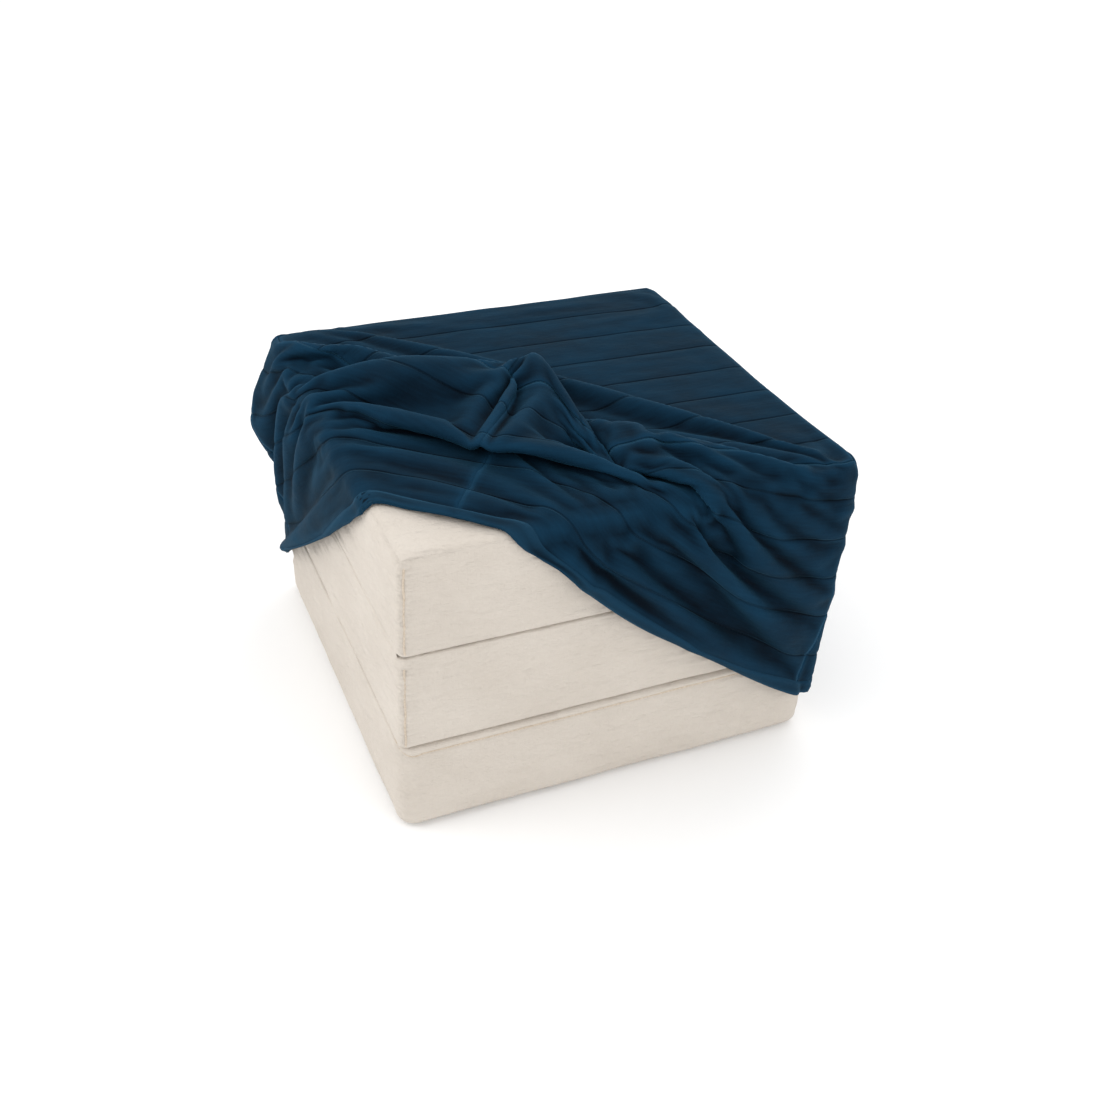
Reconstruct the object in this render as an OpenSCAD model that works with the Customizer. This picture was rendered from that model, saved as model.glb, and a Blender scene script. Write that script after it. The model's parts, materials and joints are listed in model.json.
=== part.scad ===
// Three-fold futon mattress, folded into a square stack, with a loose quilted cover drawn half off it.
// The stack stands on Z = 0 with its middle on the Z axis. +X runs along the unfolded length, and the
// corner that the cover is drawn back from is at -X -Y.

/* [Mattress] */
// Length of one panel, a third of the unfolded length
panel_length = 633; // [500:1:700]
// Width of the mattress, along the folds
panel_width = 600; // [500:1:900]
// Thickness of one panel
panel_thickness = 150; // [100:1:180]
// Gap between two stacked panels
fold_gap = 2; // [1:0.5:6]
// Radius of the upright corners of the top and middle panels, which have a seam
corner_radius = 12; // [8:1:30]
// Radius of the upright corners of the bottom panel, whose side wall runs round them
base_corner_radius = 26; // [12:1:45]

/* [Layers] */
// Thickness of the cotton casing
casing_thickness = 1; // [0.6:0.1:2]
// Thickness of the wadding over and under the foam
wadding_thickness = 12; // [5:1:25]
// How far a stitched seam stands proud of the casing
seam_height = 1.2; // [0.6:0.1:2]

/* [Folds] */
// Distance from a panel's end to the line that the fold turns on
fold_offset = 3; // [2:0.5:6]
// Height of the gusset that joins two panels
gusset_height = 36; // [20:1:60]
// Thickness of the gusset
gusset_thickness = 1.2; // [0.6:0.1:1.8]

/* [Cover] */
// Room between the mattress and the cover's sides
cover_slack = 14; // [8:1:25]
// Thickness of the quilted velvet
cover_thickness = 3; // [2:0.5:6]
// Height of the hem above the floor at the far sides
hem_clearance = 24; // [5:1:60]
// Width of the hem band
hem_width = 26; // [15:1:40]
// How far the cover is drawn back along the top's front edge
bare_length = 152; // [80:1:240]
// How far the cover is drawn back along the top's left edge
bare_width = 114; // [80:1:240]
// Height of the turned-back corner above the cover
peak_height = 58; // [20:1:80]

/* [Hidden] */

$fn = 64;
eps = 0.01;
touch_gap = 0.3;

stack_height = 3 * panel_thickness + 2 * fold_gap;
half_length = panel_length / 2;
half_width = panel_width / 2;
core_height = panel_thickness - 2 * casing_thickness - 2 * wadding_thickness;
seam_width = 3;
closing_seam_drop = 13;
closing_seam_height = 5;

cover_length = panel_length + 2 * cover_slack;
cover_width = panel_width + 2 * cover_slack;
cover_radius = 30;
cover_base_z = stack_height + touch_gap;
cover_top_z = cover_base_z + cover_thickness;
hem_band_thickness = 1.2;
// Hem height at the front right corner, where the drawn-up front hem ends
front_hem_low = 55;
// Hem height at the back left corner, where the drawn-up left hem ends
left_hem_low = 62;
far_reach = 2000;

function panel_z(i) = i * (panel_thickness + fold_gap);
function panel_radius(i) = i == 0 ? base_corner_radius : corner_radius;

// A flat plate with rounded upright corners, centred on the Z axis, standing on z = 0
module rounded_plate(length, width, height, radius) {
    linear_extrude(height) {
        square([length - 2 * radius, width], center = true);
        square([length, width - 2 * radius], center = true);
        for (x = [-1, 1], y = [-1, 1])
            translate([x * (length / 2 - radius), y * (width / 2 - radius)]) circle(radius);
    }
}

// A wall of the given thickness that stands outside the plan length by width
module ring(length, width, radius, thickness, height) {
    difference() {
        rounded_plate(length + 2 * thickness, width + 2 * thickness, height, radius + thickness);
        translate([0, 0, -1]) rounded_plate(length, width, height + 2, radius);
    }
}

// One plain layer inside the casing of panel i, standing z above the panel's underside
module layer(i, z, height) {
    translate([0, 0, panel_z(i) + z])
        rounded_plate(panel_length - 2 * casing_thickness, panel_width - 2 * casing_thickness,
                      height, panel_radius(i) - casing_thickness);
}

module foam_core(i) {
    color("lightyellow") layer(i, casing_thickness + wadding_thickness, core_height);
}

module lower_wadding(i) {
    color("white") layer(i, casing_thickness, wadding_thickness);
}

module upper_wadding(i) {
    color("white")
        layer(i, casing_thickness + wadding_thickness + core_height, wadding_thickness);
}

// The casing is one sheet over the top and down all four sides, open underneath
module casing(i) {
    color("linen") difference() {
        translate([0, 0, panel_z(i) + casing_thickness])
            rounded_plate(panel_length, panel_width, panel_thickness - casing_thickness,
                          panel_radius(i));
        layer(i, casing_thickness - 1, panel_thickness - 2 * casing_thickness + 1);
    }
}

// The sheet that closes the casing underneath
module casing_base(i) {
    color("linen") translate([0, 0, panel_z(i)])
        rounded_plate(panel_length, panel_width, casing_thickness, panel_radius(i));
}

// The four upright seams, one on each corner, lying on the corner's curve
module corner_seams(i) {
    corner_drop = corner_radius * (1 - sqrt(0.5));
    color("wheat") for (x = [-1, 1], y = [-1, 1])
        translate([x * (half_length - corner_drop), y * (half_width - corner_drop),
                   panel_z(i) + panel_thickness / 2])
            rotate([0, 0, x * y * 45])
                translate([x * (touch_gap + seam_height / 2), 0, 0])
                    cube([seam_height, seam_width, panel_thickness - 16], center = true);
}

// The seam that closes the bottom casing, just under its top edge on the front
module closing_seam() {
    color("wheat")
        translate([0, -half_width - seam_height / 2,
                   panel_thickness - closing_seam_drop - closing_seam_height / 2])
            cube([panel_length - 2 * base_corner_radius, seam_height, closing_seam_height],
                 center = true);
}

// A strip of casing cloth sewn over the outer ends of panels i and i + 1, at the end on side s
module fold_gusset(i, s) {
    fold_z = panel_z(i + 1) - fold_gap / 2;
    color("linen")
        translate([s * (half_length + touch_gap + gusset_thickness / 2), 0, fold_z])
            cube([gusset_thickness, panel_width - 2 * base_corner_radius, gusset_height],
                 center = true);
}

// The block that the drawn-up hem of the front side leaves cloth in, raised by lift
module above_front_hem(lift) {
    rotate([90, 0, 0]) linear_extrude(2 * far_reach, center = true) polygon([
        [half_length + cover_slack, front_hem_low + lift],
        [-half_length + bare_length, stack_height + lift],
        [-half_length + bare_length, far_reach],
        [far_reach, far_reach],
        [far_reach, front_hem_low + lift]
    ]);
}

// The same for the left side, whose hem falls towards the back
module above_left_hem(lift) {
    rotate([90, 0, 90]) linear_extrude(2 * far_reach, center = true) polygon([
        [half_width + cover_slack, left_hem_low + lift],
        [-half_width + bare_width, stack_height + lift],
        [-half_width + bare_width, far_reach],
        [far_reach, far_reach],
        [far_reach, left_hem_low + lift]
    ]);
}

// A wedge of the plan that holds one side of the cover, between the two corner diagonals
module side_sector(turn) {
    corner_x = cover_length / 2 - cover_radius;
    corner_y = cover_width / 2 - cover_radius;
    along = turn % 180 == 0 ? corner_x : corner_y;
    out = turn % 180 == 0 ? corner_y : corner_x;
    rotate([0, 0, turn]) linear_extrude(far_reach, center = true) polygon([
        [-along, -out], [-along - far_reach, -out - far_reach],
        [along + far_reach, -out - far_reach], [along, -out]
    ]);
}

// The cover's upright wall, from z up to the cover's top face
module cover_wall(z, inset, thickness) {
    translate([0, 0, z])
        ring(cover_length + 2 * inset, cover_width + 2 * inset, cover_radius + inset, thickness,
             cover_top_z - z);
}

module front_skirt() {
    color("midnightblue") intersection() {
        cover_wall(0, 0, cover_thickness);
        side_sector(0);
        above_front_hem(0);
    }
}

module left_skirt() {
    color("midnightblue") intersection() {
        cover_wall(0, 0, cover_thickness);
        side_sector(270);
        above_left_hem(0);
    }
}

module far_skirt(turn) {
    color("midnightblue") intersection() {
        cover_wall(hem_clearance, 0, cover_thickness);
        side_sector(turn);
    }
}

// The quilted top, with the near corner drawn back from the mattress
module cover_top() {
    color("midnightblue") difference() {
        translate([0, 0, cover_base_z])
            rounded_plate(cover_length, cover_width, cover_thickness, cover_radius);
        translate([0, 0, cover_base_z - 1]) linear_extrude(cover_thickness + 2) polygon([
            [-half_length - far_reach / 10, -half_width + bare_width],
            [-half_length - cover_slack, -half_width + bare_width],
            [-half_length + bare_length, -half_width - cover_slack],
            [-half_length + bare_length, -half_width - far_reach / 10],
            [-half_length - far_reach / 10, -half_width - far_reach / 10]
        ]);
    }
}

// The near corner of the cover, turned back over the top in a low peak
module corner_fold() {
    rim = 8;
    low = 10;
    ridge = 30;
    base = [
        [-half_length + 12, -half_width + 165, low],
        [-half_length + 215, -half_width + 10, low],
        [-half_length + 90, -half_width + 350, ridge],
        [-half_length + 300, -half_width + 320, peak_height],
        [-half_length + 430, -half_width + 120, ridge]
    ];
    color("midnightblue") hull() for (p = base)
        translate([p[0], p[1], cover_top_z]) cylinder(h = p[2], r1 = rim, r2 = rim / 2, $fn = 24);
}

// The band sewn round the hem, outside the skirts
module cover_hem() {
    color("navy") {
        intersection() {
            difference() {
                cover_wall(0, cover_thickness, hem_band_thickness);
                above_front_hem(hem_width);
            }
            side_sector(0);
            above_front_hem(0);
        }
        intersection() {
            difference() {
                cover_wall(0, cover_thickness, hem_band_thickness);
                above_left_hem(hem_width);
            }
            side_sector(270);
            above_left_hem(0);
        }
        for (turn = [90, 180]) intersection() {
            translate([0, 0, hem_clearance])
                ring(cover_length + 2 * cover_thickness, cover_width + 2 * cover_thickness,
                     cover_radius + cover_thickness, hem_band_thickness, hem_width);
            side_sector(turn);
        }
    }
}

foam_core(0);  // bottom_foam_core
lower_wadding(0);  // bottom_lower_wadding
upper_wadding(0);  // bottom_upper_wadding
casing(0);  // bottom_casing
casing_base(0);  // bottom_casing_base
closing_seam();  // bottom_closing_seam
foam_core(1);  // middle_foam_core
lower_wadding(1);  // middle_lower_wadding
upper_wadding(1);  // middle_upper_wadding
casing(1);  // middle_casing
casing_base(1);  // middle_casing_base
corner_seams(1);  // middle_corner_seams
foam_core(2);  // top_foam_core
lower_wadding(2);  // top_lower_wadding
upper_wadding(2);  // top_upper_wadding
casing(2);  // top_casing
casing_base(2);  // top_casing_base
corner_seams(2);  // top_corner_seams
fold_gusset(0, 1);  // lower_fold_gusset
fold_gusset(1, -1);  // upper_fold_gusset
cover_top();
front_skirt();  // cover_front_skirt
far_skirt(90);  // cover_right_skirt
far_skirt(180);  // cover_back_skirt
left_skirt();  // cover_left_skirt
corner_fold();  // cover_corner_fold
cover_hem();
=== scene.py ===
import json
import math

import bmesh
import bpy
import numpy as np
from mathutils import Matrix, Vector, noise

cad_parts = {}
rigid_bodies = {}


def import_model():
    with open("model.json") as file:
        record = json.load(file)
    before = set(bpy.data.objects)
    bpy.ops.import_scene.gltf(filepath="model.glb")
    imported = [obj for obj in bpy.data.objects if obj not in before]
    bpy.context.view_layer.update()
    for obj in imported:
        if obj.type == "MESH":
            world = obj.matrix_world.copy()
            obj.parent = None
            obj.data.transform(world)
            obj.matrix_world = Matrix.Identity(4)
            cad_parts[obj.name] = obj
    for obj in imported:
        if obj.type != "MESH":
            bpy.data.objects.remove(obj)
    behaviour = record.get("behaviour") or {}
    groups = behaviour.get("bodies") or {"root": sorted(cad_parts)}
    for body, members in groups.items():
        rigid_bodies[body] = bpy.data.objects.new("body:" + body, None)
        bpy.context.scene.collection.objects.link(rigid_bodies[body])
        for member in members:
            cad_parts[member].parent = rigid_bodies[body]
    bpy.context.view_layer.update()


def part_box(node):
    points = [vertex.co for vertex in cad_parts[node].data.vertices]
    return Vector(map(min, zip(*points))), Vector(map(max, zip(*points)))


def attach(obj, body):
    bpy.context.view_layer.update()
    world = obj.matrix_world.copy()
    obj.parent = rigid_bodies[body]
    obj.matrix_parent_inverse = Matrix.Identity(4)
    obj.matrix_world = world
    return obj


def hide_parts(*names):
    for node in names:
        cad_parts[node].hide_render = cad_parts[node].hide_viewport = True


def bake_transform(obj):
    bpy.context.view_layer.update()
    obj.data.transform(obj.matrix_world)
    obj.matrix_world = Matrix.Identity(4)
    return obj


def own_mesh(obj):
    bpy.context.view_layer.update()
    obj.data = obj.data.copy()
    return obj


for leftover in list(bpy.data.objects):
    bpy.data.objects.remove(leftover)
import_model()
scene = bpy.context.scene
RNG = np.random.default_rng(7)

# ---------------------------------------------------------------- sizes: the spans from the frame, the roundings and gaps given
PANELS = ("bottom", "middle", "top")
SPAN = {p: (np.array(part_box(p + "_casing_base")[0]), np.array(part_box(p + "_casing")[1])) for p in PANELS}
HALF_L = float(SPAN["top"][1][0])
HALF_W = float(SPAN["top"][1][1])
STACK_TOP = float(SPAN["top"][1][2])
NEAR = np.array([-HALF_L, -HALF_W, 0.0])          # the stack's near corner, on the floor
PLAN_R = {"bottom": 0.026, "middle": 0.012, "top": 0.012}
TOP_R = {"bottom": 0.0045, "middle": 0.0032, "top": 0.016}
LOW_R = {"bottom": 0.017, "middle": 0.004, "top": 0.0030}
CASING_T = 0.001
SEAM_DROP = 0.013
TOUCH = 0.0008                                      # each section swells this far towards the one it rests on


# ---------------------------------------------------------------- mesh helpers
def spaced(half, edge, step):
    """Grid lines from -half to half, closer together near both ends."""
    e = np.array(edge)
    inner = half - e[-1]
    n = max(2, round(2 * inner / step))
    return np.concatenate([-half + e[:-1], np.linspace(-inner, inner, n + 1), (half - e[:-1])[::-1]])


def box_grid(xs, ys, zs):
    """A box's surface as quads. Returns points, faces and each face's side (0 low z, 1 high z, 2 -y, 3 +x, 4 +y, 5 -x)."""
    index, pts, faces, sides = {}, [], [], []

    def at(i, j, k):
        key = (i, j, k)
        if key not in index:
            index[key] = len(pts)
            pts.append((xs[i], ys[j], zs[k]))
        return index[key]

    nx, ny, nz = len(xs) - 1, len(ys) - 1, len(zs) - 1
    for i in range(nx):
        for j in range(ny):
            faces.append((at(i, j, 0), at(i, j + 1, 0), at(i + 1, j + 1, 0), at(i + 1, j, 0)))
            faces.append((at(i, j, nz), at(i + 1, j, nz), at(i + 1, j + 1, nz), at(i, j + 1, nz)))
            sides += [0, 1]
    for i in range(nx):
        for k in range(nz):
            faces.append((at(i, 0, k), at(i + 1, 0, k), at(i + 1, 0, k + 1), at(i, 0, k + 1)))
            faces.append((at(i + 1, ny, k), at(i, ny, k), at(i, ny, k + 1), at(i + 1, ny, k + 1)))
            sides += [2, 4]
    for j in range(ny):
        for k in range(nz):
            faces.append((at(nx, j, k), at(nx, j + 1, k), at(nx, j + 1, k + 1), at(nx, j, k + 1)))
            faces.append((at(0, j + 1, k), at(0, j, k), at(0, j, k + 1), at(0, j + 1, k + 1)))
            sides += [3, 5]
    return np.array(pts), np.array(faces), np.array(sides)


def rounded(p, low, high, plan_r, low_r, top_r):
    """Rounds a box's edges: plan_r on the upright ones, and low_r and top_r high on the others."""
    mid = (low + high) / 2
    rz = np.where(p[:, 2] > mid[2], top_r, low_r)
    radii = np.stack([np.full(len(p), plan_r), np.full(len(p), plan_r), rz], 1)
    q = np.clip(p, low + radii, high - radii)
    q[:, 2] = np.where(p[:, 2] > mid[2], np.minimum(p[:, 2], high[2] - rz), np.maximum(p[:, 2], low[2] + rz))
    d = (p - q) / radii
    n = np.linalg.norm(d, axis=1)
    n[n == 0] = 1
    m = np.abs(d).max(1)
    return q + d / n[:, None] * np.where(m > 0, 1, 0)[:, None] * radii


def normals(p, faces):
    a, b = p[faces[:, 2]] - p[faces[:, 0]], p[faces[:, 3]] - p[faces[:, 1]]
    fn = np.cross(a, b)
    out = np.zeros_like(p)
    for c in range(4):
        np.add.at(out, faces[:, c], fn)
    ln = np.linalg.norm(out, axis=1)
    ln[ln == 0] = 1
    return out / ln[:, None]


def wavy(p, scale, seed):
    """Smooth noise from -1 to 1 at each point; scale is the wavelength along each axis."""
    q = p / np.array(scale) + seed * 7.31
    return np.array([noise.noise(Vector(v)) for v in q])


def make_object(name, pts, faces, uv=None, smooth=True):
    """uv, if given, is one row for each face corner: cloth coordinates in metres, then, on the cover, quilting rows."""
    mesh = bpy.data.meshes.new(name)
    mesh.from_pydata([tuple(v) for v in pts], [], [tuple(int(i) for i in f) for f in faces])
    if uv is not None:
        uv = np.asarray(uv, np.float32)
        for k, layer_name in enumerate(("cloth", "quilt")[:uv.shape[1] // 2]):
            layer = mesh.uv_layers.new(name=layer_name)
            layer.data.foreach_set("uv", uv[:, 2 * k:2 * k + 2].ravel())
    mesh.polygons.foreach_set("use_smooth", [smooth] * len(mesh.polygons))
    mesh.update()
    obj = bpy.data.objects.new(name, mesh)
    scene.collection.objects.link(obj)
    return obj


def shell(pts, nrm, faces, uv, outer, inner):
    """Turns a sheet into a closed skin: one side at outer and one at inner along the normals, with a rim."""
    used = np.unique(faces)
    remap = -np.ones(len(pts), int)
    remap[used] = np.arange(len(used))
    f = remap[faces]
    n = len(used)
    top = (pts + nrm * np.broadcast_to(outer, len(pts))[:, None])[used]
    low = (pts + nrm * inner)[used]
    edges = {}
    for fi, face in enumerate(f):
        for c in range(4):
            a, b = int(face[c]), int(face[(c + 1) % 4])
            key = (min(a, b), max(a, b))
            edges[key] = None if key in edges else (a, b, fi, c)
    rim, rim_uv = [], []
    for e in edges.values():
        if e is None:
            continue
        a, b, fi, c = e
        rim.append((b, a, a + n, b + n))
        ua, ub = uv[fi * 4 + c], uv[fi * 4 + (c + 1) % 4]
        rim_uv += [ub, ua, ua, ub]
    back = f[:, ::-1] + n
    uv = np.asarray(uv)
    back_uv = uv.reshape(-1, 4, uv.shape[1])[:, ::-1].reshape(-1, uv.shape[1])
    all_faces = np.concatenate([f, back] + ([np.array(rim)] if rim else []))
    all_uv = np.concatenate([uv, back_uv] + ([np.array(rim_uv)] if rim else []))
    return np.concatenate([top, low]), all_faces, all_uv


def side_uv(p, faces, sides):
    """Cloth coordinates in metres: x and y on flat sides, along and up on walls."""
    corner = p[faces]
    out = corner[:, :, :2].copy()
    along_x = (sides == 2) | (sides == 4)
    along_y = (sides == 3) | (sides == 5)
    out[along_x] = corner[along_x][:, :, [0, 2]]
    out[along_y] = corner[along_y][:, :, [1, 2]]
    return out.reshape(-1, 2)


def stitches(points, outward, pitch, length, radius):
    """Short rounded threads laid end to end along a path of points."""
    points, outward = np.asarray(points), np.asarray(outward)
    seg = np.linalg.norm(np.diff(points, axis=0), axis=1)
    s = np.concatenate([[0], np.cumsum(seg)])
    count = int(s[-1] / pitch)
    verts, faces = [], []
    rings = ((-0.5, 0.35), (-0.36, 0.9), (0, 1.0), (0.36, 0.9), (0.5, 0.35))
    for k in range(count):
        c = (k + 0.5) * s[-1] / count
        ends = [np.array([np.interp(c + d, s, points[:, a]) for a in range(3)]) for d in (-length / 2, length / 2)]
        out = np.array([np.interp(c, s, outward[:, a]) for a in range(3)])
        out /= np.linalg.norm(out)
        axis = ends[1] - ends[0]
        axis /= np.linalg.norm(axis)
        side = np.cross(axis, out)
        side /= np.linalg.norm(side)
        base = len(verts)
        for t, r in rings:
            mid = (ends[0] + ends[1]) / 2 + axis * t * length + out * radius * 0.5 * r
            for q in range(6):
                a = q * math.pi / 3
                verts.append(mid + (side * math.cos(a) * 1.15 + out * math.sin(a)) * radius * r)
        for g in range(len(rings) - 1):
            for q in range(6):
                a, b = base + g * 6 + q, base + g * 6 + (q + 1) % 6
                faces.append((a, a + 6, b + 6, b))
        faces.append(tuple(base + q for q in range(6)))
        faces.append(tuple(base + (len(rings) - 1) * 6 + q for q in range(5, -1, -1)))
    return verts, faces


# ---------------------------------------------------------------- materials
class Nodes:
    """A small helper to write a node material in a few lines."""

    def __init__(self, name):
        self.mat = bpy.data.materials.new(name)
        self.mat.use_nodes = True
        self.tree = self.mat.node_tree
        self.shader = self.tree.nodes["Principled BSDF"]

    def add(self, kind, inputs=None, **settings):
        n = self.tree.nodes.new(kind)
        for k, v in settings.items():
            setattr(n, k, v)
        for k, v in (inputs or {}).items():
            if isinstance(v, bpy.types.NodeSocket):
                self.tree.links.new(v, n.inputs[k])
            else:
                n.inputs[k].default_value = v
        return n

    def math(self, op, a, b=None, clamp=False):
        ins = {0: a} if b is None else {0: a, 1: b}
        return self.add("ShaderNodeMath", ins, operation=op, use_clamp=clamp).outputs[0]

    def cloth_uv(self, scale):
        uv = self.add("ShaderNodeUVMap", uv_map="cloth").outputs[0]
        return self.add("ShaderNodeMapping", {"Vector": uv, "Scale": scale}).outputs[0]

    def noise(self, vector, scale, detail=3.0, rough=0.5):
        return self.add("ShaderNodeTexNoise", {"Vector": vector, "Scale": scale, "Detail": detail, "Roughness": rough}).outputs[0]

    def wave(self, vector, axis, period):
        """Bands across one axis, period in the vector's own units."""
        return self.add("ShaderNodeTexWave", {"Vector": vector, "Scale": math.pi / 10 / period, "Distortion": 0.0},
                        bands_direction=axis).outputs[1]

    def ramp(self, value, low, high, a=0.3, b=0.7):
        r = self.add("ShaderNodeValToRGB", {0: value})
        e = r.color_ramp.elements
        e[0].position, e[1].position = a, b
        e[0].color, e[1].color = (*low, 1), (*high, 1)
        return r.outputs[0]

    def bump(self, height, distance, strength=1.0, below=None):
        ins = {"Height": height, "Distance": distance, "Strength": strength}
        if below is not None:
            ins["Normal"] = below
        return self.add("ShaderNodeBump", ins).outputs[0]

    def set(self, **values):
        for k, v in values.items():
            key = k.replace("_", " ")
            if isinstance(v, bpy.types.NodeSocket):
                self.tree.links.new(v, self.shader.inputs[key])
            else:
                self.shader.inputs[key].default_value = v
        return self.mat


def cotton(name, light, dark, thread=0.0011):
    """Unbleached plain weave: fine threads, slubs both ways, and the soft crumple of washed cloth."""
    n = Nodes(name)
    uv = n.cloth_uv((1, 1, 1))
    weave = n.math("MULTIPLY", n.wave(uv, "X", thread), n.wave(uv, "Y", thread))
    slubs = n.math("ADD", n.noise(n.cloth_uv((60, 900, 1)), 1.0, 2.0), n.noise(n.cloth_uv((900, 60, 1)), 1.0, 2.0))
    soft = n.noise(n.cloth_uv((1, 1, 1)), 9.0, 4.0)
    tone = n.math("ADD", n.math("MULTIPLY", soft, 0.6), n.math("MULTIPLY", slubs, 0.2))
    colour = n.ramp(tone, dark, light, 0.35, 0.65)
    crumple = n.noise(n.cloth_uv((1, 1.7, 1)), 38.0, 4.0, 0.62)
    creases = n.noise(n.cloth_uv((7, 24, 1)), 1.0, 3.0)
    wide = n.bump(creases, 0.012, 0.8)
    small = n.bump(crumple, 0.005, 0.9, wide)
    fine = n.bump(slubs, 0.0006, 0.6, small)
    top = n.bump(weave, 0.0004, 0.5, fine)
    rough = n.add("ShaderNodeMapRange", {"Value": slubs, "From Min": 0.6, "From Max": 1.4, "To Min": 0.9,
                                         "To Max": 1.0}).outputs[0]
    return n.set(Base_Color=colour, Roughness=rough, Normal=top, Sheen_Weight=0.08, Sheen_Roughness=0.6,
                 Specular_IOR_Level=0.08)


def thread(name, light, dark):
    n = Nodes(name)
    pos = n.add("ShaderNodeTexCoord").outputs["Object"]
    ply = n.noise(pos, 1800.0, 2.0)
    colour = n.ramp(n.noise(pos, 300.0, 2.0), dark, light)
    return n.set(Base_Color=colour, Roughness=n.math("ADD", n.math("MULTIPLY", ply, 0.2), 0.6),
                 Normal=n.bump(ply, 0.0004, 0.6), Sheen_Weight=0.2)


def velvet(name, dark_pile_and_painted_shade, pale_pile_and_painted_light):
    """Short-pile cotton velvet: paler where the pile leans at random, with painted shade in the hollows of folds and
    along the quilting channels and painted light on fold crests, and the shader's own sheen at a slant.
    """
    n = Nodes(name)
    lean = n.noise(n.cloth_uv((1, 1.5, 1)), 8.0, 5.0, 0.6)
    streak = n.noise(n.cloth_uv((26, 240, 1)), 1.0, 3.0)
    pile = n.noise(n.cloth_uv((1, 1, 1)), 1500.0, 2.0)
    tone = n.math("ADD", n.math("MULTIPLY", lean, 0.75), n.math("MULTIPLY", streak, 0.25))
    tone = n.math("ADD", tone, n.math("MULTIPLY", n.math("SUBTRACT", pile, 0.5), 0.35))
    # the quilting: a sewn channel with short stitches, by distance from the nearest line
    quilt = n.add("ShaderNodeSeparateXYZ", {0: n.add("ShaderNodeUVMap", uv_map="quilt").outputs[0]})
    away = n.math("MULTIPLY", n.math("PINGPONG", quilt.outputs[1], 0.5), QUILT_PITCH)
    channel = n.add("ShaderNodeMapRange", {"Value": away, "From Max": 0.0030}, interpolation_type="SMOOTHSTEP").outputs[0]
    # painted shade and light: the mesh's pointiness darkens the colour in the folds' hollows and lightens it on their
    # crests
    pointiness_for_painted_shade = n.add("ShaderNodeNewGeometry").outputs["Pointiness"]
    dash = n.math("GREATER_THAN", n.math("PINGPONG", n.math("DIVIDE", quilt.outputs[0], 0.0045), 0.5), 0.14)
    sewn = n.math("MULTIPLY", n.math("LESS_THAN", away, 0.0006), dash)
    # painted shade: the colour is darker along each quilting channel
    tone = n.math("SUBTRACT", tone, n.math("MULTIPLY", n.math("SUBTRACT", 1.0, channel), 0.13))
    tone = n.math("ADD", tone, n.math("MULTIPLY", n.math("SUBTRACT", pointiness_for_painted_shade, 0.5), 6.5))
    colour = n.ramp(tone, dark_pile_and_painted_shade, pale_pile_and_painted_light, 0.22, 0.95)
    soft = n.bump(n.noise(n.cloth_uv((1, 1.4, 1)), 30.0, 4.0), 0.004, 0.35)
    groove = n.bump(n.math("ADD", channel, n.math("MULTIPLY", sewn, 0.35)), 0.0016, 0.9, soft)
    nap = n.bump(n.math("ADD", n.math("MULTIPLY", pile, 0.7), n.math("MULTIPLY", streak, 0.5)), 0.0006, 0.4, groove)
    rough = n.add("ShaderNodeMapRange", {"Value": lean, "From Min": 0.3, "From Max": 0.7, "To Min": 0.75,
                                         "To Max": 0.95}).outputs[0]
    return n.set(Base_Color=colour, Roughness=rough, Normal=nap, Sheen_Weight=SHEEN, Sheen_Roughness=0.45,
                 Sheen_Tint=SHEEN_TINT, Specular_IOR_Level=0.05)


def foam_material():
    n = Nodes("cut_foam")
    pos = n.add("ShaderNodeTexCoord").outputs["Object"]
    cells = n.add("ShaderNodeTexVoronoi", {"Vector": pos, "Scale": 420.0}).outputs[0]
    colour = n.ramp(n.noise(pos, 14.0, 4.0), (0.80, 0.72, 0.48), (0.88, 0.82, 0.60))
    return n.set(Base_Color=colour, Roughness=0.95, Normal=n.bump(cells, 0.0012, 0.8), Specular_IOR_Level=0.2)


def wadding_material():
    n = Nodes("polyester_wadding")
    pos = n.add("ShaderNodeTexCoord").outputs["Object"]
    long = n.add("ShaderNodeMapping", {"Vector": pos, "Scale": (120, 500, 500)}).outputs[0]
    fibres = n.math("ADD", n.noise(long, 1.0, 5.0), n.noise(pos, 60.0, 5.0))
    colour = n.ramp(fibres, (0.74, 0.74, 0.73), (0.9, 0.9, 0.89), 0.7, 1.3)
    return n.set(Base_Color=colour, Roughness=0.95, Normal=n.bump(fibres, 0.003, 0.7), Sheen_Weight=0.3)


SHEEN = 0.125
QUILT_PITCH = 0.0745
SHEEN_TINT = (0.11, 0.40, 0.64, 1)
CREAM = (0.640, 0.584, 0.520)
CREAM_DARK = (0.585, 0.528, 0.464)
NAVY = (0.0005, 0.0026, 0.0064)
NAVY_LIFT = (0.0050, 0.0300, 0.0615)

MAT = {
    "cotton": cotton("ecru_cotton", CREAM, CREAM_DARK),
    "cotton_base": cotton("ecru_cotton_underside", (0.655, 0.588, 0.510), (0.600, 0.535, 0.455)),
    "seam": thread("ecru_thread", (0.64, 0.55, 0.45), (0.52, 0.43, 0.33)),
    "velvet": velvet("petrol_velvet", NAVY, NAVY_LIFT),
    "hem": velvet("petrol_velvet_hem", (0.0007, 0.0032, 0.0075), (0.0070, 0.0330, 0.0640)),
    "foam": foam_material(),
    "wadding": wadding_material(),
}


def finish_piece(obj, body, material, nodes):
    obj.data.materials.clear()
    obj.data.materials.append(MAT[material])
    if nodes:
        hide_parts(*nodes)
    if body:
        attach(obj, body)
    return obj


# ---------------------------------------------------------------- the padded sections
def side_bulge(panel, p):
    """How far a casing's walls swell, falling away to its edges."""
    low, high = SPAN[panel]
    mid, half = (low + high) / 2, (high - low) / 2
    t = np.clip((p - mid) / half, -1, 1)
    up = 1 - t[:, 2] ** 2
    return up * (1 - t[:, 0] ** 6), up * (1 - t[:, 1] ** 6), t


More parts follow.
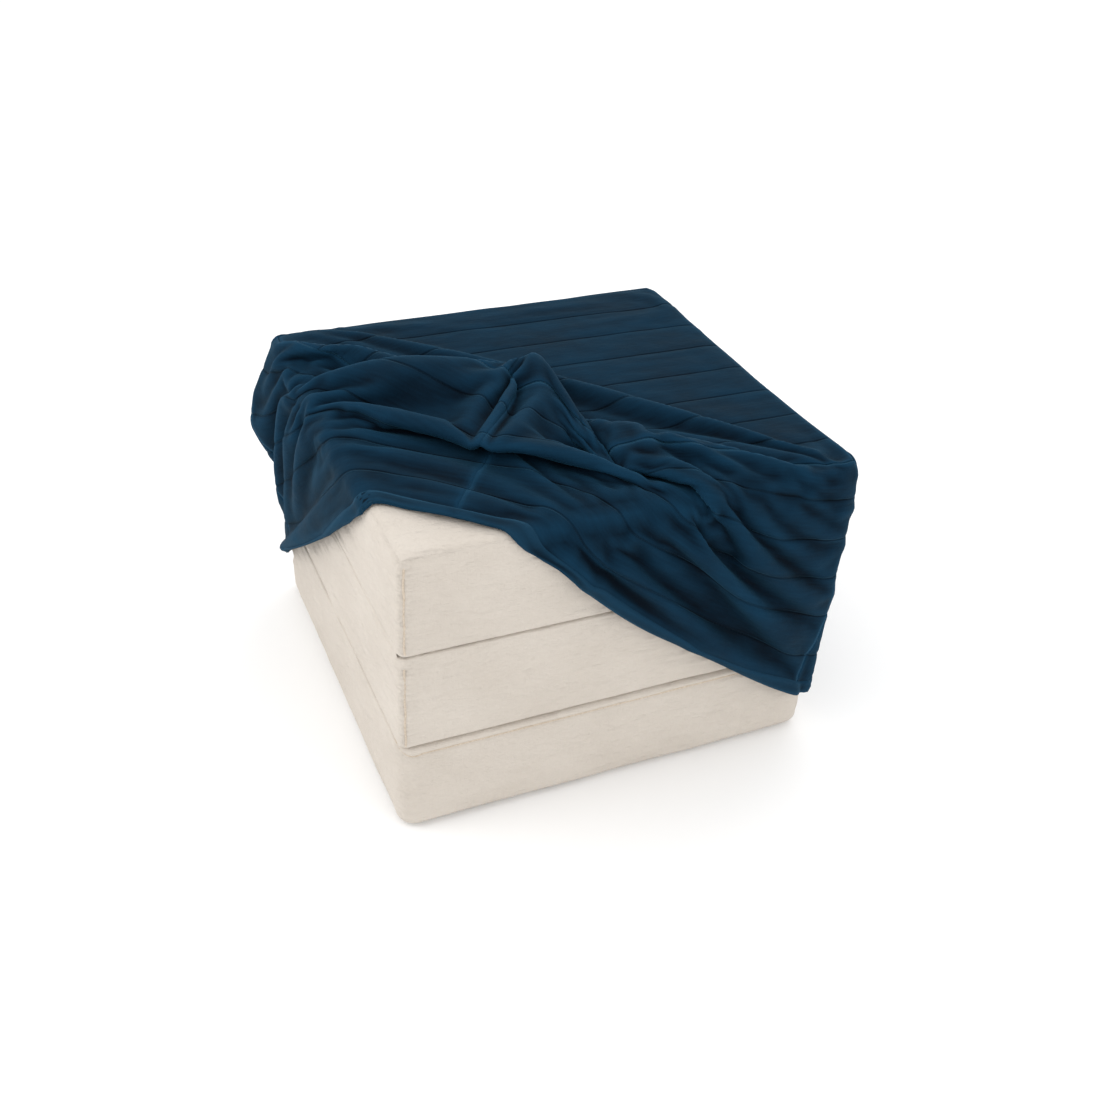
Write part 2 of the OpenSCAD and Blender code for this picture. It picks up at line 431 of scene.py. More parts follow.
def seam_place(panel, sx, sy):
    """Where a corner's seam stands, just round on its front or back side, and the way it faces."""
    r, turn = PLAN_R[panel], math.radians(24)
    x = sx * (HALF_L - r + r * math.sin(turn))
    y = sy * (HALF_W - r + r * math.cos(turn))
    return x, y, np.array([sx * math.sin(turn), sy * math.cos(turn), 0])


def casing_shape(panel, p, nrm):
    """The casing's outer surface: swell, soft waves, puckered corner seams and the closing seam's channel."""
    low, high = SPAN[panel]
    seed = PANELS.index(panel)
    end_y, end_x, t = side_bulge(panel, p)
    wall_y, wall_x = np.abs(nrm[:, 1]), np.abs(nrm[:, 0])
    out = 0.0022 * end_y * wall_y ** 2 + 0.0012 * end_x * wall_x ** 2
    flat = np.abs(nrm[:, 2])
    if panel == "top":
        out += 0.0014 * np.where(nrm[:, 2] > 0, 1, 0) * flat * (1 - t[:, 0] ** 4) * (1 - t[:, 1] ** 4)
    else:
        out += TOUCH * np.where(nrm[:, 2] > 0, flat, 0)
    if panel != "bottom":
        out += TOUCH * np.where(nrm[:, 2] < 0, flat, 0)
    wall = 1 - flat
    loose = wall + (0.6 if panel == "top" else 0.15) * flat * (nrm[:, 2] > 0)
    out += loose * (0.0008 * wavy(p, (0.16, 0.16, 0.11), seed) + 0.0005 * wavy(p, (0.07, 0.07, 0.045), seed + 3))
    # long soft creases along the walls, and a finer crumple
    ridge = 1 - np.abs(wavy(p, (0.17, 0.17, 0.026), seed + 5)) * 3.2
    where = np.clip(wavy(p, (0.20, 0.20, 0.10), seed + 9) * 2.4 + 0.35, 0, 1) * np.clip(0.85 - 0.4 * t[:, 2], 0.3, 1)
    out += wall * where * 0.0020 * np.clip(ridge, -0.4, 1)
    slant = p @ np.array([[1, 0, 0.5], [0, 1, 0.5], [0, 0, 1]]).T
    out += loose * 0.0009 * wavy(slant, (0.045, 0.045, 0.014), seed + 13)
    if panel != "bottom":
        for sx in (-1, 1):
            for sy in (-1, 1):
                cx, cy, _ = seam_place(panel, sx, sy)
                d = np.hypot(p[:, 0] - cx, p[:, 1] - cy)
                z = p[:, 2] - low[2]
                ripple = np.sin(2 * math.pi * z / 0.0085 + 3.5 * wavy(p, (0.03, 0.03, 0.02), seed + sx + 2 * sy))
                inside = np.clip((high[2] - 0.010 - p[:, 2]) / 0.01, 0, 1) * np.clip((z - 0.002) / 0.008, 0, 1)
                pucker = 0.0015 * np.exp(-d / 0.013) * ripple * np.clip(d / 0.003, 0, 1)
                out += inside * wall * (pucker + 0.0008 * np.exp(-((d - 0.006) / 0.004) ** 2)
                                        - 0.0016 * np.exp(-(d / 0.0020) ** 2))
                # the gathered point where the seam ends under the top edge
                up = p[:, 2] - (high[2] - 0.009)
                e = np.sqrt(d ** 2 + up ** 2)
                turn = np.arctan2(up, (p[:, 0] - cx) * sx + (p[:, 1] - cy) * sy)
                out += 0.0020 * np.exp(-(e / 0.0055) ** 2) - 0.0013 * np.exp(-((e - 0.0115) / 0.0035) ** 2)
                out += 0.0010 * np.sin(5 * turn + seed) * np.exp(-((e - 0.014) / 0.009) ** 2)
    else:
        seam_z, around = closing_seam_height(p)
        dz = p[:, 2] - seam_z
        out += around * wall * (-0.0026 * np.exp(-(dz / 0.0022) ** 2) + 0.0026 * np.exp(-((dz - 0.0070) / 0.004) ** 2)
                                + 0.0006 * np.exp(-((dz + 0.006) / 0.004) ** 2))
    return out


def closing_seam_height(p):
    """The seam's height at each point, and 1 where the seam runs: along the front, curling up at its left end."""
    high = SPAN["bottom"][1]
    past = np.clip((-HALF_L + 0.030 - p[:, 0]) / 0.030, 0, 1)          # 0 on the front, 1 round the near corner
    back = np.clip((p[:, 1] + HALF_W) / 0.026, 0, 1) * (p[:, 0] < 0)
    z = high[2] - SEAM_DROP - 0.003 * np.sin(math.pi * np.clip(past, 0, 1)) + 0.014 * back ** 1.5
    near_front = (p[:, 1] < -HALF_W + 0.026).astype(float)
    return z, near_front


def build_panel(panel):
    low, high = SPAN[panel]
    half = (high - low) / 2
    mid = (high + low) / 2
    edge = (0, .0022, .0045, .007, .010, .0135, .018, .024, .031)
    xs = spaced(half[0], edge, 0.0085)
    ys = spaced(half[1], edge, 0.0085)
    zs = spaced(half[2], (0, .0015, .003, .0045, .0065, .0085, .011, .0135, .016), 0.0042 if panel == "bottom" else 0.0024) + mid[2]
    p, f, side = box_grid(xs, ys, zs)
    uv = side_uv(p, f, side)
    p = rounded(p, np.array([-half[0], -half[1], low[2]]), np.array([half[0], half[1], high[2]]),
                PLAN_R[panel], LOW_R[panel], TOP_R[panel])
    nrm = normals(p, f)
    p = p + nrm * casing_shape(panel, p, nrm)[:, None]
    p[:, 2] = np.maximum(p[:, 2], low[2] - (0 if panel == "bottom" else TOUCH))
    nrm = normals(p, f)
    uv = uv.reshape(-1, 4, 2)
    body = panel + "_panel"
    top = side != 0
    v, q, u = shell(p, nrm, f[top], uv[top].reshape(-1, 2), 0.0, -CASING_T)
    casing = make_object(panel + "_casing_cloth", v, q, u)
    finish_piece(casing, body, "cotton", [panel + "_casing"])
    v, q, u = shell(p, nrm, f[~top], uv[~top].reshape(-1, 2), 0.0, -CASING_T)
    base = make_object(panel + "_casing_underside", v, q, u)
    finish_piece(base, body, "cotton_base", [panel + "_casing_base"])
    return p, nrm


def inner_block(name, node, body, material, panel, low_r, top_r, rough):
    """A wadding pad or foam core, inside the casing's own rounding."""
    low, high = (np.array(v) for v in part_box(node))
    inset = np.array([0.0035, 0.0035, 0])
    low, high = low + inset, high - inset
    edge = (0, .003, .006, .010, .016)
    span = high[2] - low[2]
    xs, ys = spaced(high[0], edge, 0.022), spaced(high[1], edge, 0.022)
    zs = np.linspace(low[2], high[2], max(4, round(span / 0.012)) + 1)
    p, f, side = box_grid(xs, ys, zs)
    uv = side_uv(p, f, side)
    p = rounded(p, low, high, PLAN_R[panel] - CASING_T, low_r, top_r)
    nrm = normals(p, f)
    p = p - nrm * (0.0006 + rough * (0.5 + 0.5 * wavy(p, (0.05, 0.05, 0.03), len(name))))[:, None]
    obj = make_object(name, p, f, uv)
    return finish_piece(obj, body, material, [node])


for panel in PANELS:
    body = panel + "_panel"
    inner_block(panel + "_lower_wadding_pad", panel + "_lower_wadding", body, "wadding", panel,
                min(LOW_R[panel], 0.010) + 0.001, 0.001, 0.0008)
    inner_block(panel + "_foam_block", panel + "_foam_core", body, "foam", panel, 0.002, 0.002, 0.0003)
    inner_block(panel + "_upper_wadding_pad", panel + "_upper_wadding", body, "wadding", panel,
                0.001, min(TOP_R[panel], 0.011), 0.0008)
SURFACE = {panel: build_panel(panel) for panel in PANELS}


# ---------------------------------------------------------------- seams
def seam_ridge(verts, faces, line, side, out, width, height):
    """The folded allowance that stands up between the stitches, as a slim strip along a line."""
    base = len(verts)
    for a, o in zip(line, out):
        for s, h in ((-1, -0.9), (-0.55, 0.5), (0, 1), (0.55, 0.5), (1, -0.9)):
            verts.append(a + side * s * width / 2 + o * h * height)
    for a in range(len(line) - 1):
        for b in range(4):
            i = base + a * 5 + b
            faces.append((i, i + 1, i + 6, i + 5))


def corner_seams(panel):
    low, high = SPAN[panel]
    verts, faces = [], []
    for sx in (-1, 1):
        for sy in (-1, 1):
            x, y, out = seam_place(panel, sx, sy)
            z = np.linspace(low[2] + 0.004, high[2] - 0.012, 70)
            line = np.stack([np.full(70, x), np.full(70, y), z], 1)
            side = np.array([-out[1], out[0], 0])
            line += side * (0.0005 * np.sin(z * 140 + sx + 2 * sy))[:, None] - out * 0.0002
            v, f = stitches(line, np.tile(out, (70, 1)), 0.0042, 0.0034, 0.0006)
            base = len(verts)
            verts += v
            faces += [tuple(i + base for i in q) for q in f]
            seam_ridge(verts, faces, line, side, np.tile(out, (70, 1)), 0.0030, 0.0005)
    obj = make_object(panel + "_corner_seam_lines", verts, faces)
    return finish_piece(obj, panel + "_panel", "seam", [panel + "_corner_seams"])


corner_seams("middle")
corner_seams("top")


def closing_seam():
    """A fine corded seam along the front of the bottom section, curling up round the near corner."""
    r = PLAN_R["bottom"]
    path, outs = [], []
    for x in np.linspace(HALF_L - r, -HALF_L + r, 150):
        path.append((x, -HALF_W))
        outs.append((0, -1))
    for a in np.linspace(0, math.pi / 2, 16)[1:]:
        path.append((-HALF_L + r - r * math.sin(a), -HALF_W + r - r * math.cos(a)))
        outs.append((-math.sin(a), -math.cos(a)))
    path, outs = np.array(path), np.array(outs)
    p = np.column_stack([path, np.zeros(len(path))])
    p[:, 2] = closing_seam_height(p)[0]
    out = np.column_stack([outs, np.zeros(len(outs))])
    bow = side_bulge("bottom", p)[0] * np.abs(out[:, 1]) * 0.0022
    p = p + out * (bow - 0.0009)[:, None]
    verts, faces = stitches(p, out, 0.0042, 0.0034, 0.0006)
    seam_ridge(verts, faces, p, np.array([0, 0, 1.0]), out, 0.0034, 0.0006)
    obj = make_object("bottom_closing_seam_cord", verts, faces)
    return finish_piece(obj, "bottom_panel", "seam", ["bottom_closing_seam"])


closing_seam()


# ---------------------------------------------------------------- the two fabric folds
def gusset(name, node, lower, upper, side):
    low, high = (np.array(v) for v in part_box(node))
    zc = (low[2] + high[2]) / 2
    reach = HALF_W - 0.010
    ys = np.linspace(-reach, reach, 141)
    across = np.linspace(-1, 1, 31)
    gy, gz = np.meshgrid(ys, across, indexing="ij")
    y = gy.ravel()
    narrow = np.clip((reach - np.abs(y)) / 0.020, 0, 1)
    z = zc + gz.ravel() * (0.004 + 0.014 * narrow ** 0.6)
    p = np.stack([np.full(len(y), side * HALF_L), y, z], 1)
    facing = np.tile([side, 0, 0], (len(p), 1))
    share = np.clip((z - zc) / 0.012 + 0.5, 0, 1)
    under = casing_shape(lower, p, facing) * (1 - share) + casing_shape(upper, p, facing) * share
    dip = 0.0024 * np.exp(-((z - zc) / 0.0085) ** 2) + 0.0013 * np.exp(-((z - zc) / 0.0016) ** 2)
    edge = np.abs(gz.ravel())
    x = HALF_L + under + 0.0010 - 0.0022 * edge ** 4 - dip * narrow - 0.0010 * (1 - narrow)
    p[:, 0] = side * x
    n = len(across)
    faces = [(a * n + b, (a + 1) * n + b, (a + 1) * n + b + 1, a * n + b + 1) for a in range(len(ys) - 1) for b in range(n - 1)]
    f = np.array(faces)
    if side > 0:
        f = f[:, ::-1] if normals(p, f)[:, 0].mean() < 0 else f
    else:
        f = f[:, ::-1] if normals(p, f)[:, 0].mean() > 0 else f
    uv = p[f][:, :, 1:].reshape(-1, 2)
    v, q, u = shell(p, normals(p, f), f, uv, 0.0004, -0.0004)
    obj = make_object(name, v, q, u)
    obj.data.materials.append(MAT["cotton"])
    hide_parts(node)
    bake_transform(obj)
    return obj


gusset("upper_fold_strip", "upper_fold_gusset", "middle", "top", -1)
gusset("lower_fold_strip", "lower_fold_gusset", "bottom", "middle", 1)


# ---------------------------------------------------------------- the quilted velvet cover
COVER_L, COVER_W, SKIRT = 0.647, 0.614, 0.445
CELL = 0.0125
COVER_Z = STACK_TOP + 0.006
COVER_T = 0.003
HEM_BAND = 0.025


class Pattern:
    """The cover as cut: a top and four skirts on one grid, sewn along every edge of the box."""

    def __init__(self):
        self.nx, self.ny, self.nh = round(COVER_L / CELL), round(COVER_W / CELL), round(SKIRT / CELL)
        nx, ny, nh = self.nx, self.ny, self.nh
        top, pts, faces, piece, uv = {}, [], [], [], []
        for j in range(ny + 1):
            for i in range(nx + 1):
                top[i, j] = len(pts)
                pts.append((-COVER_L / 2 + COVER_L * i / nx, -COVER_W / 2 + COVER_W * j / ny, COVER_Z))
        for j in range(ny):
            for i in range(nx):
                faces.append((top[i, j], top[i + 1, j], top[i + 1, j + 1], top[i, j + 1]))
                piece.append(0)
                uv += [(COVER_L * a / nx, COVER_W * b / ny) for a, b in ((i, j), (i + 1, j), (i + 1, j + 1), (i, j + 1))]
        ring = ([(i, 0) for i in range(nx)] + [(nx, j) for j in range(ny)] +
                [(i, ny) for i in range(nx, 0, -1)] + [(0, j) for j in range(ny, 0, -1)])
        corners = (0, nx, nx + ny, 2 * nx + ny, 2 * (nx + ny))
        along = (COVER_L, COVER_W, COVER_L, COVER_W)
        rows = [[top[k] for k in ring]]
        n = len(ring)
        for k in range(1, nh + 1):
            rows.append([])
            for i, j in ring:
                x, y, _ = pts[top[i, j]]
                rows[-1].append(len(pts))
                pts.append((x, y, COVER_Z - SKIRT * k / nh))
            for m in range(n):
                s = max(q for q in range(4) if corners[q] <= m)
                faces.append((rows[k - 1][(m + 1) % n], rows[k - 1][m], rows[k][m], rows[k][(m + 1) % n]))
                piece.append(s + 1)
                a = along[s] * (m - corners[s]) / (corners[s + 1] - corners[s])
                b = along[s] * (m + 1 - corners[s]) / (corners[s + 1] - corners[s])
                h0, h1 = -SKIRT * (k - 1) / nh, -SKIRT * k / nh
                uv += [(b, h0), (a, h0), (a, h1), (b, h1)]
        self.pts, self.faces = np.array(pts), np.array(faces)
        self.piece, self.uv = np.array(piece), np.array(uv)
        self.top, self.rows, self.corners, self.along = top, rows, corners, along

    def skirt(self, side, along, down, spread=0):
        """Points of one skirt: 0 front, 1 right, 2 back, 3 left, each measured anticlockwise from its first corner."""
        k = round(down / SKIRT * self.nh)
        m = self.corners[side] + round(along / self.along[side] * (self.corners[side + 1] - self.corners[side]))
        return [self.rows[k][(m + d) % len(self.rows[0])] for d in range(-spread, spread + 1)]


pattern = Pattern()
KEYS = (1, 14, 30, 44, 54)
LAST_FRAME = 84


def from_near(x, y, z):
    """A place given in millimetres from the stack's near corner."""
    return NEAR + np.array([x, y, z]) / 1000


def held_points():
    """What holds the cloth while it is drawn back: groups of its points, each with a place and a turn at each key frame."""
    P, cut = pattern.pts, pattern
    corner = P[cut.top[0, 0]]
    spin = Vector((1, -1, 0)).normalized()

    def turn(share, angle):
        return np.array(Matrix.Rotation(-share * math.radians(angle), 3, spin))

    def near(point, reach):
        return [i for i in range(len(P)) if np.linalg.norm(P[i] - point) < reach]

    def add(x, y, z):
        return corner + np.array([x, y, z])

    tracks = []
    peak = near(corner + np.array([0.056, 0.056, 0]), 0.010)
    offset = P[peak].mean(0) - corner
    corner_path = [corner, add(.06, .05, .20), add(.26, .25, .26), from_near(256, 294, 530), from_near(256, 294, 474)]
    tracks.append(([cut.top[0, 0]], corner_path, (0, 0, 0, 0, 0), 0))
    peak_path = [corner + offset, corner_path[1] + turn(.3, 60) @ offset, corner_path[2] + turn(.8, 60) @ offset,
                 from_near(309, 336, 560), from_near(309, 336, 511)]
    tracks.append((peak, peak_path, (0, .3, .6, .6, .6), 60))
    seam = [cut.skirt(0, 0, h, 1) for h in (0.176, 0.240, SKIRT)]
    tracks.append((seam[0], [P[seam[0]].mean(0), from_near(10, 10, 470), from_near(140, 130, 640),
                             from_near(155, 150, 560), from_near(155, 150, 490)], (0, .5, 1, 1.1, 1.1), 90))
    tracks.append((seam[1], [P[seam[1]].mean(0), from_near(-20, -20, 420), from_near(120, 110, 580),
                             from_near(196, 200, 510), from_near(196, 200, 471)], (0, 0, .5, .5, .5), 90))
    tracks.append((seam[2], [P[seam[2]].mean(0), from_near(-60, -60, 240), from_near(-30, -40, 480),
                             from_near(70, 35, 500), from_near(89, 53, 461)], (0, .3, 1, 1, 1), 70))

    def straight(ids, target):
        start = P[ids].mean(0)
        tracks.append((ids, [start + (target - start) * (f - 1) / (KEYS[-1] - 1) for f in KEYS], (0,) * 5, 0))

    # the ridge that runs from the peak to the front edge
    cloth_line = ((.125, 0), (.190, .03), (.234, .05))
    place = (from_near(303, 182, 492), from_near(306, 108, 478), from_near(312, 60, 464))
    seen = set()
    for a in range(2):
        for t in np.linspace(0, 1, 9):
            s = cloth_line[a][0] * (1 - t) + cloth_line[a + 1][0] * t
            h = cloth_line[a][1] * (1 - t) + cloth_line[a + 1][1] * t
            ids = cut.skirt(0, s, h)
            if ids[0] in seen:
                continue
            seen.add(ids[0])
            target = place[a] * (1 - t) + place[a + 1] * t
            start = P[ids].mean(0)
            tracks.append((ids, [start, start + np.array([0, -.02, .15]), target + np.array([-.03, -.05, .14]),
                                 target + np.array([0, 0, .05]), target], (0,) * 5, 0))
    straight(cut.skirt(2, COVER_L - .085, .13), from_near(-46, 600, 342))
    straight(cut.skirt(2, COVER_L - .10, SKIRT, 1), from_near(-12, 608, 50))
    # the hem, pulled straight from the drawn-up corner down to both sides: metres along it, and where that point goes
    for along, place in ((.108, (-5, 112, 456)), (.30, (-9, 274, 327)), (.50, (-9, 441, 196)), (.614, (-12, 536, 122))):
        straight(cut.skirt(3, COVER_W - along, SKIRT), from_near(*place))
    for along, place in ((.086, (149, -9, 456)), (.21, (240, -11, 368)), (.42, (396, -11, 231))):
        straight(cut.skirt(0, along, SKIRT), from_near(*place))
    straight(cut.skirt(1, .055, SKIRT, 1), from_near(634, -10, 66))
    still = (near(np.array([COVER_L / 2 - .07, COVER_W / 2 - .07, COVER_Z]), 0.035)
             + near(np.array([COVER_L / 2 - .025, -COVER_W / 2 + .025, COVER_Z]), 0.02)
             + near(np.array([-COVER_L / 2 + .03, COVER_W / 2 - .03, COVER_Z]), 0.02)
             + [row[cut.corners[2]] for row in cut.rows[1:]])
    return tracks, still, turn


def drape():
    """Draws the cover's near corner up and back over the stack, and lets it settle. Returns the cloth's points."""
    tracks, still, turn = held_points()
    mesh = bpy.data.meshes.new("drape")
    mesh.from_pydata(pattern.pts.tolist(), [], pattern.faces.tolist())
    cloth = bpy.data.objects.new("drape", mesh)
    scene.collection.objects.link(cloth)
    group = cloth.vertex_groups.new(name="held")
    group.add(sorted(set(sum((t[0] for t in tracks), []))) + still, 1.0, "REPLACE")
    cloth.shape_key_add(name="Basis")
    for k in range(1, len(KEYS)):
        key = cloth.shape_key_add(name=f"key_{k}")
        for ids, path, shares, angle in tracks:
            centre = pattern.pts[ids].mean(0)
            for v in ids:
                key.data[v].co = Vector(turn(shares[k], angle) @ (pattern.pts[v] - centre) + path[k])
        for f, value in ((KEYS[k - 1], 0), (KEYS[k], 1)) + (((KEYS[k + 1], 0),) if k + 1 < len(KEYS) else ()):
            key.value = value
            key.keyframe_insert("value", frame=f)
    action = cloth.data.shape_keys.animation_data.action
    for curve in action.fcurves:
        for point in curve.keyframe_points:
            point.interpolation = "LINEAR"

    def obstacle(name, mesh, inner):
        o = bpy.data.objects.new(name, mesh)
        scene.collection.objects.link(o)
        o.modifiers.new("collision", "COLLISION")
        o.collision.thickness_outer = 0.004
        o.collision.thickness_inner = inner
        o.collision.cloth_friction = 12
        return o

    bm = bmesh.new()
    bmesh.ops.create_cube(bm, size=1)
    for v in bm.verts:
        v.co = Vector((v.co.x * 2 * HALF_L, v.co.y * 2 * HALF_W, (v.co.z + 0.5) * STACK_TOP))
    upright = [e for e in bm.edges if abs(e.verts[0].co.z - e.verts[1].co.z) > 0.1]
    bmesh.ops.bevel(bm, geom=upright, offset=0.014, segments=4, profile=0.5, affect="EDGES")
    rim = [e for e in bm.edges if min(e.verts[0].co.z, e.verts[1].co.z) > STACK_TOP - 0.004]
    bmesh.ops.bevel(bm, geom=rim, offset=0.013, segments=3, profile=0.5, affect="EDGES")
    bmesh.ops.triangulate(bm, faces=bm.faces)
    block = bpy.data.meshes.new("block")
    bm.to_mesh(block)
    bm.free()
    ground = bpy.data.meshes.new("ground")
    ground.from_pydata([(-3, -3, 0), (3, -3, 0), (3, 3, 0), (-3, 3, 0)], [], [(0, 1, 2, 3)])
    obstacles = [obstacle("block", block, 0.12), obstacle("ground", ground, 0.03)]

    mod = cloth.modifiers.new("cloth", "CLOTH")
    s, c = mod.settings, mod.collision_settings
    s.vertex_group_mass = "held"
    s.quality, s.mass, s.air_damping = 6, 0.25, 2
    s.tension_stiffness = s.compression_stiffness = 20
    s.shear_stiffness, s.bending_stiffness = 6, 5
    s.tension_damping = s.compression_damping = 8
    s.shear_damping, s.bending_damping = 5, 1
    c.collision_quality, c.distance_min = 3, 0.003
    c.use_self_collision, c.self_distance_min = True, 0.005
    c.self_friction, c.friction = 8, 12
    mod.point_cache.frame_start, mod.point_cache.frame_end = 1, LAST_FRAME
    scene.frame_start, scene.frame_end = 1, LAST_FRAME
    for f in range(1, LAST_FRAME + 1):
        scene.frame_set(f)
    shape = cloth.evaluated_get(bpy.context.evaluated_depsgraph_get()).to_mesh()
    out = np.empty(len(shape.vertices) * 3)
    shape.vertices.foreach_get("co", out)
    for o in [cloth] + obstacles:
        data = o.data
        bpy.data.objects.remove(o)
        bpy.data.meshes.remove(data)
    scene.frame_set(1)
    return out.reshape(-1, 3)


draped = drape()


def relax(p, faces, rounds, share):
    """Evens out the grid without moving its folds much; share, one number or one for each point, is how strongly."""
    pairs = np.concatenate([faces[:, [a, (a + 1) % 4]] for a in range(4)])
    pairs = np.concatenate([pairs, pairs[:, ::-1]])
    count = np.bincount(pairs[:, 0], minlength=len(p))[:, None]
    for _ in range(rounds):
        total = np.zeros_like(p)
        np.add.at(total, pairs[:, 0], p[pairs[:, 1]])
        p = p + (total / count - p) * share
    return p


EDGE_R = 0.012                                      # the rounding of the stack's top edges under the cover


def clear_of_stack(p, gap):
    """Moves any point of the cover that is closer to the stack than gap straight out, round the stack's edges."""
    r = PLAN_R["top"]
    q = np.abs(p[:, :2]) - np.array([HALF_L - r, HALF_W - r])
    past = np.maximum(q, 0)
    corner = past.min(1) > 0
    reach = np.where(corner, np.linalg.norm(past, axis=1) - r, q.max(1) - r)
    lift = p[:, 2] - STACK_TOP
    over = np.stack([reach, lift], 1) + EDGE_R
    slope = np.where(over.max(1, keepdims=True) > 0, np.maximum(over, 0), np.eye(2)[over.argmax(1)])
    dist = np.linalg.norm(np.maximum(over, 0), axis=1) + np.minimum(over.max(1), 0) - EDGE_R
    move = slope / np.linalg.norm(slope, axis=1, keepdims=True) * np.maximum(gap - dist, 0)[:, None]
    way = np.where(corner[:, None], past / np.maximum(np.linalg.norm(past, axis=1), 1e-9)[:, None],
                   np.eye(2)[q.argmax(1)]) * np.sign(p[:, :2])
    return p + np.column_stack([way * move[:, :1], move[:, 1]])


def even_hem(p):
    """Draws the hem into one smooth line between the three hanging corners, with the rows just above it."""
    ring = pattern.rows[-1]
    line = p[ring]
    hanging = list(pattern.corners[1:4])
    for _ in range(36):
        line = line / 2 + (np.roll(line, 1, 0) + np.roll(line, -1, 0)) / 4
        line[hanging] = p[ring][hanging]
    shift = line - p[ring]
    p = p.copy()
    for k in range(7):
        p[pattern.rows[-1 - k]] += shift * (1 - k / 7)
    return p


def settle_corners(p):
    """Draws the cover in at the stack's far, left and right corners, where its cut corner would stand up as an ear."""
    for sx, sy, reach, amount in ((1, 1, 0.042, 0.75), (-1, 1, 0.045, 0.85), (1, -1, 0.022, 0.5)):
        corner = np.array([sx * COVER_L / 2, sy * COVER_W / 2, COVER_Z])
        d = np.linalg.norm((p - corner) * np.array([1, 1, 0.8]), axis=1)
        p = relax(p, pattern.faces, 16, (amount * np.exp(-(d / reach) ** 2))[:, None])
    return p


def subdivided(pts, faces, piece, uv):
    """One Catmull-Clark step, keeping each face's piece and cloth coordinates."""
    obj = make_object("fine", pts, faces, uv)
    for m in range(5):
        obj.data.materials.append(MAT["velvet"])
    obj.data.polygons.foreach_set("material_index", piece.astype(np.int32))
    mod = obj.modifiers.new("fine", "SUBSURF")
    mod.levels = mod.render_levels = 1
    mod.uv_smooth = "NONE"
    bpy.context.view_layer.update()
    mesh = bpy.data.meshes.new_from_object(obj.evaluated_get(bpy.context.evaluated_depsgraph_get()))
    n, m = len(mesh.vertices), len(mesh.polygons)
    p, f, k, u = np.empty(n * 3), np.empty(m * 4, int), np.empty(m, int), np.empty(m * 8)
    mesh.vertices.foreach_get("co", p)
    mesh.loops.foreach_get("vertex_index", f)
    mesh.polygons.foreach_get("material_index", k)
    mesh.uv_layers[0].data.foreach_get("uv", u)
    data = obj.data
    bpy.data.objects.remove(obj)
    bpy.data.meshes.remove(data)
    bpy.data.meshes.remove(mesh)
    return p.reshape(-1, 3), f.reshape(-1, 4), k, u.reshape(-1, 2)


QUILT_ROWS = 6                                      # quilting every six cells of the grid
PIECES = (("cover_top_quilt", "cover_top"), ("cover_front_skirt_quilt", "cover_front_skirt"),
          ("cover_right_skirt_quilt", "cover_right_skirt"), ("cover_back_skirt_quilt", "cover_back_skirt"),
          ("cover_left_skirt_quilt", "cover_left_skirt"))


def build_cover(coarse):
    smooth = settle_corners(relax(clear_of_stack(even_hem(coarse), 0.006), pattern.faces, 1, 0.3))
    p, f, piece, uv = subdivided(smooth, pattern.faces, pattern.piece, pattern.uv)
    p = clear_of_stack(p, 0.0062)
    p[:, 2] = np.maximum(p[:, 2], COVER_T / 2 + 0.003)
    nrm = normals(p, f)
    cell = np.array([COVER_W / pattern.ny] + [SKIRT / pattern.nh] * 4)
    at = np.zeros((len(p), 2))
    kind = np.zeros(len(p), int)
    edge = np.full(len(p), 9.0)
    at[f.ravel()] = uv
    kind[f.ravel()] = np.repeat(piece, 4)
    # distance to the nearest quilting line and to the hem, in metres of cloth
    pitch = cell[kind] * QUILT_ROWS
    d = np.abs(at[:, 1] / pitch - np.round(at[:, 1] / pitch)) * pitch
    hem = np.where(kind > 0, SKIRT + at[:, 1], 9.0)
    plump = 0.0006 + 0.0005 * wavy(np.column_stack([at, kind]), (0.045, 0.035, 1), 4)
    quilt = plump * np.sin(math.pi * np.clip(d / pitch, 0, 0.5)) ** 0.5 - 0.0008 * np.exp(-(d / 0.003) ** 2)
    crumple = 0.0007 * wavy(np.column_stack([at, kind]), (0.055, 0.016, 1), 8)
    outer = COVER_T / 2 + np.where(hem < HEM_BAND + 0.003, 0.0, quilt + crumple)
    rows = np.column_stack([uv[:, 0], uv[:, 1] / np.repeat(cell[piece] * QUILT_ROWS, 4)])
    made = []
    for k, (name, node) in enumerate(PIECES):
        use = piece == k
        both = np.hstack([uv, rows]).reshape(-1, 4, 4)[use].reshape(-1, 4)
        v, q, u = shell(p, nrm, f[use], both, outer, -COVER_T / 2)
        made.append(make_object(name, v, q, u))
    # the hem: a narrow doubled band on the outside, with its line of stitches
    low_rows = (piece > 0) & (uv.reshape(-1, 4, 2)[:, :, 1].mean(1) < -SKIRT + HEM_BAND)
    hf = f[low_rows]
    band = COVER_T / 2 + 0.0014 - 0.0010 * np.exp(-((hem - HEM_BAND) / 0.003) ** 2)
    both = np.hstack([uv, np.full_like(rows, 0.5)]).reshape(-1, 4, 4)[low_rows].reshape(-1, 4)
    v, q, u = shell(p, nrm, hf, both, band, COVER_T / 2 + 0.0001)
    hem_obj = make_object("cover_hem_band", v, q, u)
    return made, hem_obj, (p, f, nrm, uv, piece)


cover_pieces, cover_hem, fine = build_cover(draped)
flats = ((COVER_L, COVER_W), (COVER_L, SKIRT), (COVER_W, SKIRT), (COVER_L, SKIRT), (COVER_W, SKIRT))
for obj, (name, node), flat in zip(cover_pieces, PIECES, flats):
    nodes = [node] + (["cover_corner_fold"] if node == "cover_top" else [])
    finish_piece(obj, "cover", "velvet", nodes)
finish_piece(cover_hem, "cover", "hem", ["cover_hem"])
for obj in cover_pieces + [cover_hem]:
    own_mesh(obj)

